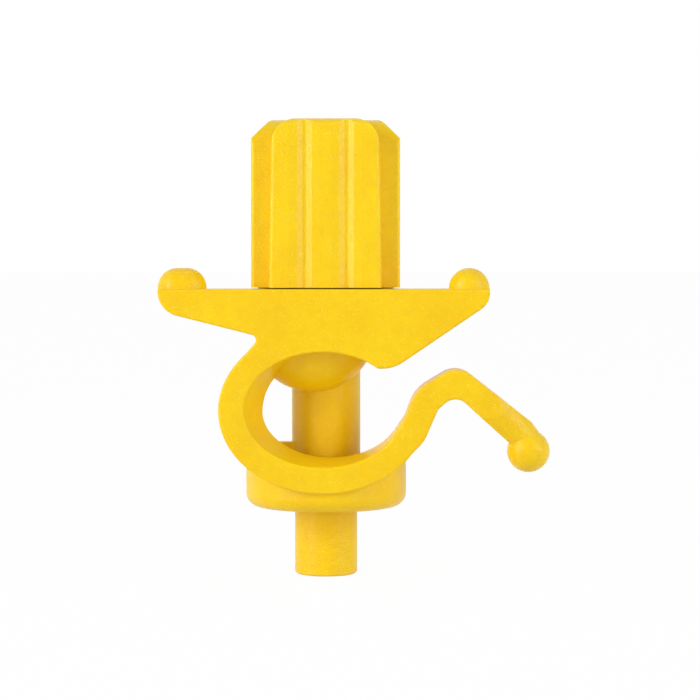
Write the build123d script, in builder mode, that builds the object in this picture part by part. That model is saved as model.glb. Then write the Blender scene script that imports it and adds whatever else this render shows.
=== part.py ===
"""Screw-tight fence insulator for a round rod post, in millimetres.

The post runs along Z. The origin is on the post's axis at the bottom of the spigot. The wire hook
is a thick plate that stands in front of the post, so its outline is drawn in the XZ plane.
"""

import os
from math import atan, cos, pi, radians, sin, sqrt, tan

from build123d import *

os.makedirs("parts", exist_ok=True)

# Post bore and tube
bore_d = 12.0
tube_d = 17.1
spigot_d = 15.6
spigot_length = 17.0
spigot_edge = 0.5

# Collar below the ring
collar_d = 40.0
collar_bottom = spigot_length
collar_top = 28.5
collar_round = 3.4

# Plate that carries the shelf, the wire ring and the tail
plate_front = -21.0
plate_thickness = 11.5
plate_back = plate_front + plate_thickness
plate_mid = plate_front + plate_thickness / 2
plate_edge = 0.6

# Shelf with a ball at each end
shelf_top = 71.5
shelf_left = Vector(-34.4, 71.0)
shelf_left_r = 6.1
shelf_left_slope = 14.2
shelf_left_turn = 35.0
shelf_right_x = 39.8
shelf_right_r = 4.8
shelf_right_slope = 34.2
left_ball = Vector(-34.85, 71.8)
left_ball_r = 4.8
left_ball_stretch = 2.3
right_ball = Vector(35.0, 71.6)
right_ball_r = 5.0

# Wire ring: an ellipse band whose hole narrows from the front face to the back face
ring_center = Vector(-0.65, 42.1)
ring_rx = 25.3
ring_rz = 20.3
hole_front_center = Vector(-0.65, 42.28)
hole_front_rx = 19.2
hole_front_rz = 14.0
hole_back_center = Vector(1.45, 41.2)
hole_back_rx = 16.7
hole_back_drop = 11.2
hole_back_rise = 14.6
notch_corner = Vector(-15.6, 60.1)
notch_foot = Vector(-20.4, 54.6)
notch_round = 1.3

# Mouth between the lip under the shelf and the tail
lip_root = Vector(8.3, 54.1)
lip_tip = Vector(13.9, 50.5)
lip_round = 9.0
mouth_heel = Vector(16.6, 36.3)
mouth_bend = Vector(19.5, 40.7)
mouth_bend_round = 6.0
tail_knee = Vector(21.8, 47.0)
tail_knee_round = 9.7
tail_crest = Vector(32.2, 53.2)
tail_crest_round = 5.8

# Tail: its underside, its rounded tip and the ball at its end
under_root = Vector(19.4, 30.0)
under_foot = Vector(24.0, 34.7)
under_foot_round = 8.0
under_knee = Vector(27.3, 42.4)
under_knee_round = 3.0
under_crest = Vector(31.55, 46.05)
under_crest_round = 3.5
tail_width = 6.5
tail_fall = 41.5
tail_length = 16.4
turned_start = Vector(38.4, 44.2)
turned_start_r = 6.9
turned_end_r = 3.1
tail_ball = Vector(49.5, 32.0)
tail_ball_r = 5.2

# Dome gusset and web that tie the plate to the tube
dome_center = Vector(-3.2, 61.6)
dome_r = 15.6
dome_left = -16.0
dome_right = 11.8
dome_depth = 9.0
dome_y = -8.0
web_top = 33.0
web_reach = 18.0
web_thickness = 3.0

# Seat flange and threaded neck
flange_d = 34.0
flange_thickness = 5.0
neck_top = 88.0
neck_core_r = 8.9
thread_pitch = 3.5
thread_depth = 1.6
thread_root_width = 1.95
thread_tip_width = 1.05
thread_clearance = 0.3
thread_embed = 0.4
neck_thread_start = 74.2
neck_thread_turns = 3.0
knob_thread_turns = 2.5

# Spring fingers of the collet
finger_count = 4
finger_slot = 3.0
finger_top = 106.0
finger_taper_start = 99.0
finger_tip_r = 7.3
finger_tip_chamfer = 0.4
finger_root_gap = 0.1

# Clamp knob
knob_gap = 0.3
knob_top = 112.85
knob_reach = 18.2
knob_arm_width = 27.3
knob_arm_top_width = 26.0
knob_arm_round = 6.1
knob_front_bevel = 1.4
knob_side_bevel = 4.7
knob_bevel_round = 2.5
knob_edge = 0.9
knob_hole_r = 6.6
knob_hole_edge = 0.8
knob_roof = 4.8
groove_offset = 5.1
groove_width = 7.5
groove_shoulder = 1.75
groove_shoulder_depth = 0.35
groove_shoulder_round = 1.2
groove_depth = 1.5
groove_round = 1.3

# Cone seat inside the knob
seat_fit = 0.05
seat_end_gap = 0.1
seat_lead = 0.05
seat_gap = 0.2

# Sizes worked out from the ones above
bore_r = bore_d / 2
knob_bottom = shelf_top + knob_gap
neck_thread_tip_r = neck_core_r + thread_depth
knob_bore_r = neck_thread_tip_r + thread_clearance
seat_top = knob_top - knob_roof - seat_end_gap
seat_bottom = finger_taper_start - seat_lead
finger_taper = atan((neck_core_r - finger_tip_r) / (finger_top - finger_taper_start))
right_rise = tan(radians(shelf_right_slope))
left_fall = tan(radians(shelf_left_slope))

# ---------------------------------------------------------------------------
# Plate outline, drawn in XZ and extruded from the front face to the back face
# ---------------------------------------------------------------------------


def slope(angle):
    """Direction that runs down to the right at an angle."""
    return Vector(cos(radians(angle)), -sin(radians(angle)))


def across(angle):
    """Direction square to a slope, pointing up."""
    return Vector(sin(radians(angle)), cos(radians(angle)))


shelf_left_low = shelf_left - across(shelf_left_slope) * shelf_left_r
shelf_left_mid = shelf_left - across(90 - shelf_left_turn) * shelf_left_r
shelf_left_reach = sqrt(shelf_left_r**2 - (shelf_top - shelf_left.Y) ** 2)
shelf_left_top = Vector(shelf_left.X - shelf_left_reach, shelf_top)
shelf_root_left = Vector(ring_center.X, shelf_left_low.Y - (ring_center.X - shelf_left_low.X) * left_fall)
shelf_right_low = lip_tip.Y + (shelf_right_x - lip_tip.X) * right_rise
turned_top = turned_start + across(tail_fall) * tail_width / 2
turned_low = turned_start - across(tail_fall) * tail_width / 2
fall_end = turned_top + (turned_top - tail_crest) * 2.5
tail_end_low = turned_low + (turned_low - under_crest) * 2.5
tail_cover = tail_crest + Vector(0, tail_crest_round)
tail_origin = Vector(turned_start.X, plate_mid, turned_start.Y)
tail_across = Vector(across(tail_fall).X, 0, across(tail_fall).Y)
tail_along = Vector(slope(tail_fall).X, 0, slope(tail_fall).Y)
lip_line_end = Vector(fall_end.X, lip_tip.Y + (fall_end.X - lip_tip.X) * right_rise)

front_plane = Plane(origin=(0, plate_back, 0), x_dir=(1, 0, 0), z_dir=(0, -1, 0))

with BuildPart() as plate:
    with BuildSketch(front_plane):
        with BuildLine():
            ThreePointArc(shelf_left_top, shelf_left_mid, shelf_left_low)
            Polyline(
                shelf_left_low,
                shelf_root_left,
                (ring_center.X, lip_tip.Y),
                lip_tip,
                (shelf_right_x, lip_tip.Y),
                (shelf_right_x, shelf_top),
                shelf_left_top,
            )
        make_face()
        with Locations(ring_center):
            Ellipse(ring_rx, ring_rz)
        Polygon(notch_foot, notch_corner, (ring_center.X, notch_corner.Y), ring_center, align=None)
        with BuildLine():
            FilletPolyline(
                under_root,
                under_foot,
                under_knee,
                under_crest,
                tail_end_low,
                radius=[under_foot_round, under_knee_round, under_crest_round],
            )
            Polyline(tail_end_low, fall_end, tail_cover, hole_back_center, under_root)
        make_face()
        with BuildLine():
            FilletPolyline(
                mouth_heel,
                mouth_bend,
                tail_knee,
                tail_crest,
                fall_end,
                radius=[mouth_bend_round, tail_knee_round, tail_crest_round],
            )
            Line(fall_end, lip_line_end)
            FilletPolyline(lip_line_end, lip_tip, lip_root, radius=lip_round)
            Polyline(lip_root, hole_back_center, mouth_heel)
        make_face(mode=Mode.SUBTRACT)
    extrude(amount=plate_thickness)

# The hole narrows towards the back, so that the wire meets no sharp edge
hole_front_plane = Plane(origin=(0, plate_front, 0), x_dir=(1, 0, 0), z_dir=(0, -1, 0))

with BuildPart() as hole:
    with BuildSketch(hole_front_plane):
        with BuildLine():
            EllipticalCenterArc(hole_front_center, hole_front_rx, hole_front_rz, arc_size=180)
            EllipticalCenterArc(hole_front_center, hole_front_rx, hole_front_rz, 180, arc_size=180)
        make_face()
    with BuildSketch(front_plane):
        with BuildLine():
            EllipticalCenterArc(hole_back_center, hole_back_rx, hole_back_rise, arc_size=180)
            EllipticalCenterArc(hole_back_center, hole_back_rx, hole_back_drop, 180, arc_size=180)
        make_face()
    loft()

# The tail's tip is turned down to a round rod that ends inside the ball
with BuildPart() as turning:
    with BuildSketch(Plane(origin=tail_origin, x_dir=tail_across, z_dir=tail_along)):
        Rectangle(3 * tail_width, 2 * plate_thickness)
    extrude(amount=tail_length + 2 * tail_width)
    with BuildSketch(Plane(origin=tail_origin, x_dir=tail_across, z_dir=(0, 1, 0))):
        with BuildLine():
            Polyline(
                (0, tail_length + turned_end_r),
                (0, 0),
                (turned_start_r, 0),
                (turned_end_r, tail_length),
            )
            RadiusArc((turned_end_r, tail_length), (0, tail_length + turned_end_r), -turned_end_r)
        make_face()
    revolve(axis=Axis(tail_origin, tail_along), mode=Mode.SUBTRACT)

with BuildPart() as hook:
    add(plate.part)
    add(hole.part, mode=Mode.SUBTRACT)
    corners = hook.edges().filter_by(Axis.Y)
    notch = corners.sort_by_distance((notch_corner.X, plate_mid, notch_corner.Y))[0]
    fillet(notch, notch_round)
    corners = hook.edges().filter_by(Axis.Y)
    right_corner = corners.sort_by_distance((shelf_right_x, plate_mid, shelf_right_low))[0]
    fillet(right_corner, shelf_right_r)
    fillet(hook.faces().filter_by(Axis.Y).sort_by(Axis.Y)[0].edges(), plate_edge)
    fillet(hook.faces().filter_by(Axis.Y).sort_by(Axis.Y)[-1].edges(), plate_edge)
    add(turning.part, mode=Mode.SUBTRACT)
    with Locations(
        (left_ball.X - left_ball_stretch / 2, plate_mid, left_ball.Y),
        (left_ball.X + left_ball_stretch / 2, plate_mid, left_ball.Y),
    ):
        Sphere(left_ball_r)
    with Locations((left_ball.X, plate_mid, left_ball.Y)):
        Cylinder(left_ball_r, left_ball_stretch, rotation=(0, 90, 0))
    with Locations((right_ball.X, plate_mid, right_ball.Y)):
        Sphere(right_ball_r)
    with Locations((tail_ball.X, plate_mid, tail_ball.Y)):
        Sphere(tail_ball_r)

# ---------------------------------------------------------------------------
# Threads: a ridge swept along a helix, on the neck and inside the knob
# ---------------------------------------------------------------------------

neck_ridge_r = neck_core_r - thread_embed
knob_ridge_r = knob_bore_r + thread_embed
flank = (thread_root_width - thread_tip_width) / 2 / thread_depth

with BuildPart() as neck_thread:
    with BuildLine() as neck_helix:
        Helix(
            pitch=thread_pitch,
            height=thread_pitch * neck_thread_turns,
            radius=neck_core_r,
            center=(0, 0, neck_thread_start),
        )
    with BuildSketch(Plane.XZ):
        with BuildLine():
            Polyline(
                (neck_ridge_r, neck_thread_start - thread_root_width / 2 - flank * thread_embed),
                (neck_thread_tip_r, neck_thread_start - thread_tip_width / 2),
                (neck_thread_tip_r, neck_thread_start + thread_tip_width / 2),
                (neck_ridge_r, neck_thread_start + thread_root_width / 2 + flank * thread_embed),
                close=True,
            )
        make_face()
    sweep(path=neck_helix.line, is_frenet=True)

knob_thread_start = neck_thread_start + thread_pitch / 2
knob_tip_r = neck_core_r + thread_clearance

with BuildPart() as knob_thread:
    with BuildLine() as knob_helix:
        Helix(
            pitch=thread_pitch,
            height=thread_pitch * knob_thread_turns,
            radius=knob_bore_r,
            center=(0, 0, knob_thread_start),
        )
    with BuildSketch(Plane.XZ):
        with BuildLine():
            Polyline(
                (knob_ridge_r, knob_thread_start - thread_root_width / 2 - flank * thread_embed),
                (knob_tip_r, knob_thread_start - thread_tip_width / 2),
                (knob_tip_r, knob_thread_start + thread_tip_width / 2),
                (knob_ridge_r, knob_thread_start + thread_root_width / 2 + flank * thread_embed),
                close=True,
            )
        make_face()
    sweep(path=knob_helix.line, is_frenet=True)

# ---------------------------------------------------------------------------
# Dome gusset between the plate and the tube, trimmed beside the notch and the wire
# ---------------------------------------------------------------------------

dome_drop = dome_center.Y - dome_r

with BuildPart() as dome:
    with BuildSketch(Plane.XY.offset(dome_center.Y)):
        with Locations((dome_center.X, dome_y)):
            Ellipse(dome_r, dome_depth)
            Rectangle(dome_r, 2 * dome_depth, align=(Align.MAX, Align.CENTER), mode=Mode.SUBTRACT)
    revolve(axis=Axis((dome_center.X, dome_y, dome_center.Y), (0, 1, 0)))
    with BuildSketch(Plane.XZ.offset(-dome_y)):
        with Locations((dome_left, dome_drop)):
            Rectangle(dome_right - dome_left, shelf_top - dome_drop, align=Align.MIN)
    extrude(amount=dome_depth, both=True, mode=Mode.INTERSECT)

# ---------------------------------------------------------------------------
# Insulator body: one moulding
# ---------------------------------------------------------------------------

with BuildPart() as body:
    # Spigot, tube and neck, with the collar and the seat flange
    with BuildSketch(Plane.XZ):
        with BuildLine():
            Polyline(
                (0, 0),
                (spigot_d / 2 - spigot_edge, 0),
                (spigot_d / 2, spigot_edge),
                (spigot_d / 2, collar_bottom),
                (collar_d / 2 - collar_round, collar_bottom),
            )
            RadiusArc(
                (collar_d / 2 - collar_round, collar_bottom),
                (collar_d / 2, collar_bottom + collar_round),
                -collar_round,
            )
            Polyline(
                (collar_d / 2, collar_bottom + collar_round),
                (collar_d / 2, collar_top),
                (tube_d / 2, collar_top),
                (tube_d / 2, shelf_top - flange_thickness),
                (flange_d / 2, shelf_top - flange_thickness),
                (flange_d / 2, shelf_top),
                (neck_core_r, shelf_top),
                (neck_core_r, neck_top),
                (0, neck_top),
                (0, 0),
            )
        make_face()
    revolve(axis=Axis.Z)
    # Web between the collar and the left of the tube
    with BuildSketch(Plane.XZ):
        with BuildLine():
            Polyline(
                (0, collar_bottom + collar_round),
                (-web_reach, collar_bottom + collar_round),
                (-web_reach, collar_top),
                (-web_reach + web_top - collar_top, web_top),
                (0, web_top),
                close=True,
            )
        make_face()
    extrude(amount=web_thickness / 2, both=True)
    add(dome.part)
    add(hook.part)
    add(neck_thread.part)
    with Locations((0, 0, neck_top / 2)):
        Cylinder(bore_r, neck_top, mode=Mode.SUBTRACT)
body.part.label = "insulator_body"
export_step(body.part, "parts/insulator_body.step")

# ---------------------------------------------------------------------------
# Spring fingers of the collet, one node each, hinged at the neck's outer edge
# ---------------------------------------------------------------------------

finger_names = ["collet_finger_front", "collet_finger_right", "collet_finger_back", "collet_finger_left"]
finger_root = neck_top + finger_root_gap

with BuildPart() as collet:
    with BuildSketch(Plane.XZ):
        with BuildLine():
            Polyline(
                (bore_r, finger_root),
                (neck_core_r, finger_root),
                (neck_core_r, finger_taper_start),
                (finger_tip_r, finger_top),
                (bore_r + finger_tip_chamfer, finger_top),
                (bore_r, finger_top - finger_tip_chamfer),
                close=True,
            )
        make_face()
    revolve(axis=Axis.Z)
slot_apex = finger_slot / 2 / sin(pi / finger_count)

for index, finger_name in enumerate(finger_names):
    turn = index * 360 / finger_count - 90
    with BuildPart() as finger:
        add(collet.part)
        with BuildSketch(Plane.XY.offset(finger_root).rotated((0, 0, turn))):
            with BuildLine():
                Polyline(
                    (slot_apex, 0),
                    (slot_apex + collar_d, -collar_d),
                    (slot_apex + collar_d, collar_d),
                    close=True,
                )
            make_face()
        extrude(amount=finger_top - finger_root, mode=Mode.INTERSECT)
    finger.part.label = finger_name
    export_step(finger.part, "parts/" + finger_name + ".step")

# ---------------------------------------------------------------------------
# Cone seat: the part of the knob that presses the fingers onto the post
# ---------------------------------------------------------------------------

seat_tip_r = finger_tip_r + seat_gap / cos(finger_taper)
seat_mouth_r = seat_tip_r + (finger_top - seat_bottom) * tan(finger_taper)

with BuildPart() as cone_seat:
    with BuildSketch(Plane.XZ):
        with BuildLine():
            Polyline(
                (seat_mouth_r, seat_bottom),
                (knob_bore_r - seat_fit, seat_bottom),
                (knob_bore_r - seat_fit, seat_top),
                (seat_tip_r, seat_top),
                (seat_tip_r, finger_top),
                close=True,
            )
        make_face()
    revolve(axis=Axis.Z)
cone_seat.part.label = "knob_cone_seat"
export_step(cone_seat.part, "parts/knob_cone_seat.step")

# ---------------------------------------------------------------------------
# Clamp knob: two crossed arms with grooved ends
# ---------------------------------------------------------------------------

knob_height = knob_top - knob_bottom
arms = []

for bevel in (knob_front_bevel, knob_side_bevel):
    with BuildPart() as arm:
        with BuildSketch(Plane.XY.offset(knob_bottom)):
            RectangleRounded(knob_arm_width, 2 * knob_reach, knob_edge)
        with BuildSketch(Plane.XY.offset(knob_top)):
            RectangleRounded(knob_arm_top_width, 2 * knob_reach, knob_edge)
        loft()
        # Rounded shoulders beside the arm's end face
        with BuildSketch(Plane.XZ):
            with BuildLine():
                Polyline(
                    (-knob_arm_width, knob_bottom),
                    (-knob_arm_width, knob_top - knob_arm_round),
                    (-knob_arm_top_width / 2, knob_top - knob_arm_round),
                )
                RadiusArc(
                    (-knob_arm_top_width / 2, knob_top - knob_arm_round),
                    (-knob_arm_top_width / 2 + knob_arm_round, knob_top),
                    knob_arm_round,
                )
                Line(
                    (-knob_arm_top_width / 2 + knob_arm_round, knob_top),
                    (knob_arm_top_width / 2 - knob_arm_round, knob_top),
                )
                RadiusArc(
                    (knob_arm_top_width / 2 - knob_arm_round, knob_top),
                    (knob_arm_top_width / 2, knob_top - knob_arm_round),
                    knob_arm_round,
                )
                Polyline(
                    (knob_arm_top_width / 2, knob_top - knob_arm_round),
                    (knob_arm_width, knob_top - knob_arm_round),
                    (knob_arm_width, knob_bottom),
                    (-knob_arm_width, knob_bottom),
                )
            make_face()
        extrude(amount=knob_reach, both=True, mode=Mode.INTERSECT)
        # Bevel along the top of the end face
        with BuildSketch(Plane.YZ) as bevels:
            with BuildLine():
                Polyline(
                    (-2 * knob_reach, knob_bottom),
                    (-2 * knob_reach, knob_top - bevel - knob_reach),
                    (bevel - knob_reach, knob_top),
                    (knob_reach - bevel, knob_top),
                    (2 * knob_reach, knob_top - bevel - knob_reach),
                    (2 * knob_reach, knob_bottom),
                    close=True,
                )
            make_face()
            fillet(bevels.vertices().group_by(Axis.Y)[-1], knob_bevel_round)
        extrude(amount=knob_arm_width, both=True, mode=Mode.INTERSECT)
    arms.append(arm.part)

with BuildSketch() as groove:
    Polygon(
        (-groove_width / 2, -groove_depth),
        (-groove_shoulder, groove_shoulder_depth - groove_depth),
        (0, 0),
        (groove_shoulder, groove_shoulder_depth - groove_depth),
        (groove_width / 2, -groove_depth),
        (groove_width, -2 * groove_depth),
        (-groove_width, -2 * groove_depth),
        align=None,
    )
    fillet(groove.vertices().sort_by(Axis.Y)[-1], groove_round)
    for side in (-groove_shoulder, groove_shoulder):
        shoulder = groove.vertices().sort_by_distance((side, groove_shoulder_depth - groove_depth))[0]
        fillet(shoulder, groove_shoulder_round)

with BuildPart() as knob:
    add(arms[0])
    add(arms[1].rotate(Axis.Z, 90))
    with BuildSketch(Plane.XY.offset(knob_bottom)):
        with PolarLocations(0, 4):
            with Locations(
                (-groove_offset, groove_depth - knob_reach),
                (groove_offset, groove_depth - knob_reach),
            ):
                add(groove.sketch)
    extrude(amount=knob_height, mode=Mode.SUBTRACT)
    with BuildSketch(Plane.XY.offset(knob_bottom)):
        Circle(knob_bore_r)
    extrude(amount=knob_height - knob_roof, mode=Mode.SUBTRACT)
    add(knob_thread.part)
    with BuildSketch(Plane.XY.offset(knob_top)):
        Circle(knob_hole_r)
    extrude(amount=-knob_roof, mode=Mode.SUBTRACT)
    rim = knob.edges().filter_by(GeomType.CIRCLE).group_by(Axis.Z)[-1].sort_by(SortBy.RADIUS)[0]
    chamfer(rim, knob_hole_edge)
knob.part.label = "clamp_knob"
export_step(knob.part, "parts/clamp_knob.step")
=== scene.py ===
"""Looks of the screw-tight fence insulator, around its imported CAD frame, in metres."""

import math

import bpy
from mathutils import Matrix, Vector

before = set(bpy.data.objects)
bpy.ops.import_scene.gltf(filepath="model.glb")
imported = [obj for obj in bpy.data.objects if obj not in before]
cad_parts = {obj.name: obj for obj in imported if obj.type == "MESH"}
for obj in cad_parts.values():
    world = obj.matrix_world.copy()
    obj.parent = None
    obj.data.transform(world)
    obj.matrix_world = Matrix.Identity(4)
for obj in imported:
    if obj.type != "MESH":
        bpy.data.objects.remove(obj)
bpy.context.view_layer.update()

MM = 0.001

# ---------------------------------------------------------------------------
# Camera: level with the knob, looking slightly down at the hook's front face
# ---------------------------------------------------------------------------

EYE = Vector((5.975, -600.0, 83.15)) * MM
TARGET = Vector((5.975, 0.0, 55.92)) * MM
VIEW_WIDTH = 175.0 * MM
SENSOR = 36.0
NEAREST = 0.01


def make_camera():
    """Place the camera and frame the object with a long lens."""
    data = bpy.data.cameras.new("camera")
    data.sensor_width = SENSOR
    data.lens = SENSOR * (TARGET - EYE).length / VIEW_WIDTH
    data.clip_start = NEAREST
    camera = bpy.data.objects.new("camera", data)
    camera.location = EYE
    camera.rotation_euler = (TARGET - EYE).to_track_quat("-Z", "Y").to_euler()
    bpy.context.scene.collection.objects.link(camera)
    bpy.context.scene.camera = camera


# ---------------------------------------------------------------------------
# Materials
# ---------------------------------------------------------------------------

# Slow flow marks and a finer mottle in the plastic's colour
FLOW_SCALE = 60.0
FLOW_LEVELS = (0.35, 0.65)
MOTTLE_SCALE = 350.0
MOTTLE_LEVELS = (0.45, 0.75)
MOTTLE_SHARE = 0.35
MOTTLE_DEPTH = 0.9

# Painted glints of the spark-eroded grain, and the pale tint of the painted glints and painted edge
# highlights
GRAIN_SIZE = 0.55 * MM
GLINT_SPACING = 0.36 * MM
GLINT_RARITY = 0.85
GLINT_RADII = (0.15, 0.5)
GLINT_GLOSS = 0.2
PAINTED_HIGHLIGHT_TINT = (1.0, 0.84, 0.16)

# Painted highlight along the edges, where the rounded normal turns away from the face's own
EDGE_HIGHLIGHT_WIDTH = 0.5 * MM
EDGE_HIGHLIGHT_SAMPLES = 6
EDGE_HIGHLIGHT_TURN = (0.85, 0.99)
EDGE_HIGHLIGHT_SHARE = 0.55
EDGE_HIGHLIGHT_PATCHES = (0.35, 0.65)
EDGE_HIGHLIGHT_LEAST = 0.4

# Turning rings on the spigot, below the collar
SPIGOT_TOP = 17.0 * MM
RING_SCALE = 550.0
RING_SHARE = 0.15

# Gloss and the light that high-density polyethylene lets in
GLOSS_LEVELS = (0.3, 0.7)
GLOSS_SPREAD = 0.06
PLASTIC_IOR = 1.5
SPECULAR = 0.28
GLOW_WEIGHT = 0.35
GLOW_RADIUS = (1.0, 0.6, 0.1)
GLOW_DEPTH = 1.5 * MM


class Nodes:
    """Short names for adding and joining shader nodes."""

    def __init__(self, tree):
        self.tree = tree

    def add(self, kind, **values):
        node = self.tree.nodes.new(kind)
        for name, value in values.items():
            if hasattr(node, name):
                setattr(node, name, value)
            else:
                node.inputs[name.replace("_", " ").title()].default_value = value
        return node

    def join(self, source, socket, target, name):
        self.tree.links.new(source.outputs[socket], target.inputs[name])


def ramp(nodes, source, socket, low, high, start, end):
    """Map a texture's value between two levels to a straight ramp, held at both ends."""
    node = nodes.add("ShaderNodeMapRange")
    node.inputs["From Min"].default_value = low
    node.inputs["From Max"].default_value = high
    node.inputs["To Min"].default_value = start
    node.inputs["To Max"].default_value = end
    nodes.join(source, socket, node, "Value")
    return node


def math_of(nodes, operation, first, second):
    """Combine two nodes' values, or a node's value and a number."""
    node = nodes.add("ShaderNodeMath", operation=operation)
    nodes.join(first, 0, node, 0)
    if isinstance(second, float):
        node.inputs[1].default_value = second
    else:
        nodes.join(second, 0, node, 1)
    return node


def blend(nodes, share, lower, upper):
    """Mix a colour from another node with a plain colour by a share."""
    node = nodes.add("ShaderNodeMixRGB")
    nodes.join(share, 0, node, "Fac")
    nodes.join(lower, 0, node, "Color1")
    node.inputs["Color2"].default_value = (*upper, 1.0)
    return node


def yellow_plastic(name, base, deep, roughness, grain_height, turned_below):
    """Moulded polyethylene with a spark-eroded grain, painted glints, painted pale highlights on the
    edges and a turned spigot.
    """
    material = bpy.data.materials.new(name)
    material.use_nodes = True
    nodes = Nodes(material.node_tree)
    shader = material.node_tree.nodes["Principled BSDF"]
    place = nodes.add("ShaderNodeTexCoord")

    # Slow flow marks and a finer mottle in the colour
    flow = nodes.add("ShaderNodeTexNoise", Scale=FLOW_SCALE, Detail=3.0, Roughness=0.55)
    nodes.join(place, "Object", flow, "Vector")
    tint = nodes.add("ShaderNodeValToRGB")
    for stop, level, shade in zip(tint.color_ramp.elements, FLOW_LEVELS, (deep, base)):
        stop.position = level
        stop.color = (*shade, 1.0)
    nodes.join(flow, "Fac", tint, "Fac")
    mottle = nodes.add("ShaderNodeTexNoise", Scale=MOTTLE_SCALE, Detail=2.0, Roughness=0.6)
    nodes.join(place, "Object", mottle, "Vector")
    patches = ramp(nodes, mottle, "Fac", *MOTTLE_LEVELS, 0.0, MOTTLE_SHARE)
    colour = blend(nodes, patches, tint, tuple(MOTTLE_DEPTH * part for part in deep))

    # Painted glints: a few cells of the grain are painted pale, as highlights, and made smooth
    cells = nodes.add("ShaderNodeTexVoronoi", Scale=1.0 / GLINT_SPACING)
    nodes.join(place, "Object", cells, "Vector")
    lottery = nodes.add("ShaderNodeSeparateColor")
    nodes.join(cells, "Color", lottery, "Color")
    chosen = ramp(nodes, lottery, "Red", GLINT_RARITY, 1.0, 0.0, 1.0)
    spot = ramp(nodes, cells, "Distance", *GLINT_RADII, 1.0, 0.0)
    painted_glint = math_of(nodes, "MULTIPLY", chosen, spot)
    colour = blend(nodes, painted_glint, colour, PAINTED_HIGHLIGHT_TINT)

    # Painted highlight along the edges: the edges are painted a little paler, unevenly
    rounded = nodes.add("ShaderNodeBevel", samples=EDGE_HIGHLIGHT_SAMPLES)
    rounded.inputs["Radius"].default_value = EDGE_HIGHLIGHT_WIDTH
    plain = nodes.add("ShaderNodeNewGeometry")
    turn = nodes.add("ShaderNodeVectorMath", operation="DOT_PRODUCT")
    nodes.join(rounded, "Normal", turn, 0)
    nodes.join(plain, "Normal", turn, 1)
    edge = ramp(nodes, turn, "Value", *EDGE_HIGHLIGHT_TURN, EDGE_HIGHLIGHT_SHARE, 0.0)
    uneven = ramp(nodes, mottle, "Fac", *EDGE_HIGHLIGHT_PATCHES, EDGE_HIGHLIGHT_LEAST, 1.0)
    painted_edge_highlight = math_of(nodes, "MULTIPLY", edge, uneven)
    colour = blend(nodes, painted_edge_highlight, colour, PAINTED_HIGHLIGHT_TINT)
    nodes.join(colour, "Color", shader, "Base Color")

    # Height: grain everywhere, fine rings where the spigot is turned
    grain = nodes.add("ShaderNodeTexNoise", Scale=1.0 / GRAIN_SIZE, Detail=2.0, Roughness=0.6)
    nodes.join(place, "Object", grain, "Vector")
    height = nodes.add("ShaderNodeSeparateXYZ")
    nodes.join(place, "Object", height, "Vector")
    rings = nodes.add("ShaderNodeTexWave", bands_direction="Z", Scale=RING_SCALE, Distortion=0.4)
    nodes.join(place, "Object", rings, "Vector")
    turned = nodes.add("ShaderNodeMath", operation="LESS_THAN")
    nodes.join(height, "Z", turned, 0)
    turned.inputs[1].default_value = turned_below
    ringed = math_of(nodes, "MULTIPLY", turned, rings)
    ringed = math_of(nodes, "MULTIPLY", ringed, RING_SHARE)
    relief = math_of(nodes, "ADD", grain, ringed)
    bump = nodes.add("ShaderNodeBump", Strength=1.0, Distance=grain_height)
    nodes.join(relief, "Value", bump, "Height")
    nodes.join(bump, "Normal", shader, "Normal")

    # Gloss: uneven with the grain, higher on the painted glints
    gloss = ramp(nodes, grain, "Fac", *GLOSS_LEVELS, roughness - GLOSS_SPREAD, roughness + GLOSS_SPREAD)
    shine = math_of(nodes, "MULTIPLY", painted_glint, GLINT_GLOSS)
    gloss = math_of(nodes, "SUBTRACT", gloss, shine)
    nodes.join(gloss, "Value", shader, "Roughness")

    shader.inputs["IOR"].default_value = PLASTIC_IOR
    shader.inputs["Specular IOR Level"].default_value = SPECULAR
    shader.inputs["Subsurface Weight"].default_value = GLOW_WEIGHT
    shader.inputs["Subsurface Radius"].default_value = GLOW_RADIUS
    shader.inputs["Subsurface Scale"].default_value = GLOW_DEPTH
    return material


def dress(node, material):
    """Give a CAD node's own slots one material."""
    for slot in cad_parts[node].material_slots:
        slot.material = material


# ---------------------------------------------------------------------------
# Stage: white surroundings, two softboxes and a white floor
# ---------------------------------------------------------------------------

WHITE = (1.0, 1.0, 1.0, 1.0)
WORLD_LIGHT = 0.42
SOFTBOX_ELEVATION = 12.0
SOFTBOX_DISTANCE = 0.9
SOFTBOX_WIDTH = 0.35
SOFTBOX_HEIGHT = 0.9
FLOOR_REACH = 6.0
FLOOR_DROP = 0.2 * MM
FLOOR_COLOUR = (0.9, 0.9, 0.9, 1.0)
FLOOR_ROUGHNESS = 0.9
FLOOR_WHITE = 0.975


def seen_directly(nodes):
    """1 for rays that the camera, a mirror or clear glass sends out, 0 for rays that carry light."""
    path = nodes.add("ShaderNodeLightPath")
    mirror = nodes.add("ShaderNodeMath", operation="MAXIMUM")
    nodes.join(path, "Is Glossy Ray", mirror, 0)
    nodes.join(path, "Is Transmission Ray", mirror, 1)
    seen = nodes.add("ShaderNodeMath", operation="MAXIMUM")
    nodes.join(path, "Is Camera Ray", seen, 0)
    nodes.join(mirror, "Value", seen, 1)
    return seen


def make_world():
    """White surroundings: plain white where they are seen, a softer light where they shine."""
    world = bpy.data.worlds.new("studio")
    world.use_nodes = True
    bpy.context.scene.world = world
    background = world.node_tree.nodes["Background"]
    background.inputs["Color"].default_value = WHITE
    nodes = Nodes(world.node_tree)
    level = ramp(nodes, seen_directly(nodes), "Value", 0.0, 1.0, WORLD_LIGHT, 1.0)
    nodes.join(level, "Result", background, "Strength")


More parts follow.
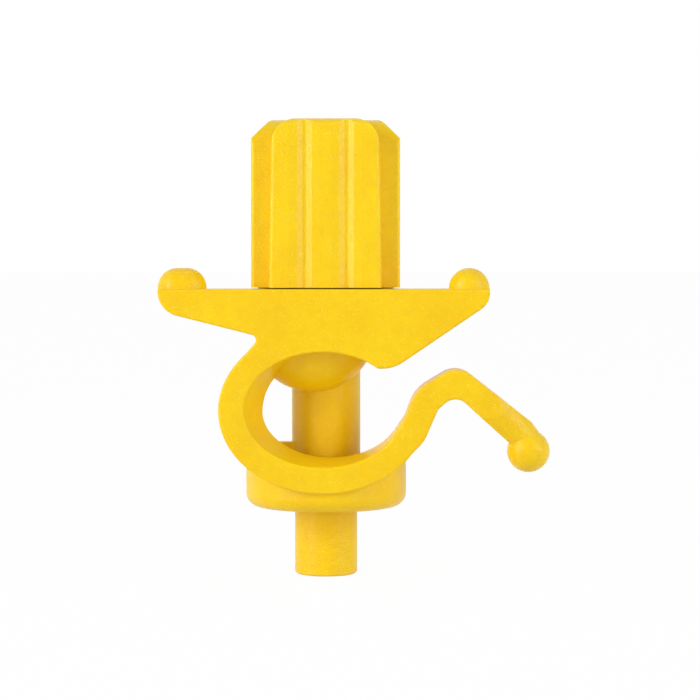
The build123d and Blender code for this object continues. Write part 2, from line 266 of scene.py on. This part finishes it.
def softbox(name, azimuth, power):
    """A tall lamp aimed at the object; azimuth 0 is the camera's side."""
    data = bpy.data.lights.new(name, "AREA")
    data.shape = "RECTANGLE"
    data.size = SOFTBOX_WIDTH
    data.size_y = SOFTBOX_HEIGHT
    data.energy = power
    lamp = bpy.data.objects.new(name, data)
    turn = math.radians(azimuth)
    rise = math.radians(SOFTBOX_ELEVATION)
    away = Vector((math.sin(turn) * math.cos(rise), -math.cos(turn) * math.cos(rise), math.sin(rise)))
    lamp.location = TARGET + away * SOFTBOX_DISTANCE
    lamp.rotation_euler = (-away).to_track_quat("-Z", "Y").to_euler()
    bpy.context.scene.collection.objects.link(lamp)


def make_floor():
    """White to the eye, with a little of the object's shadow left in it."""
    mesh = bpy.data.meshes.new("floor")
    corners = [(x * FLOOR_REACH, y * FLOOR_REACH, 0.0) for x, y in ((-1, -1), (1, -1), (1, 1), (-1, 1))]
    mesh.from_pydata(corners, [], [(0, 1, 2, 3)])
    floor = bpy.data.objects.new("floor", mesh)
    floor.location.z = -FLOOR_DROP
    bpy.context.scene.collection.objects.link(floor)
    material = bpy.data.materials.new("floor_white")
    material.use_nodes = True
    nodes = Nodes(material.node_tree)
    shader = material.node_tree.nodes["Principled BSDF"]
    shader.inputs["Base Color"].default_value = FLOOR_COLOUR
    shader.inputs["Roughness"].default_value = FLOOR_ROUGHNESS
    glow = nodes.add("ShaderNodeEmission", Strength=1.0)
    share = ramp(nodes, seen_directly(nodes), "Value", 0.0, 1.0, 0.0, FLOOR_WHITE)
    mix = nodes.add("ShaderNodeMixShader")
    nodes.join(share, "Result", mix, "Fac")
    nodes.join(shader, "BSDF", mix, 1)
    nodes.join(glow, "Emission", mix, 2)
    nodes.join(mix, "Shader", material.node_tree.nodes["Material Output"], "Surface")
    mesh.materials.append(material)


make_camera()
make_world()
softbox("key_left", azimuth=-58, power=6.6)
softbox("fill_right", azimuth=58, power=4.6)
make_floor()

body_plastic = yellow_plastic(
    "body_plastic",
    base=(0.94, 0.635, 0.002),
    deep=(0.91, 0.585, 0.001),
    roughness=0.34,
    grain_height=0.12 * MM,
    turned_below=SPIGOT_TOP,
)
knob_plastic = yellow_plastic(
    "knob_plastic",
    base=(0.95, 0.655, 0.002),
    deep=(0.92, 0.605, 0.001),
    roughness=0.26,
    grain_height=0.11 * MM,
    turned_below=0.0,
)
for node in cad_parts:
    dress(node, knob_plastic if "knob" in node else body_plastic)

bpy.context.scene.view_settings.view_transform = "Standard"
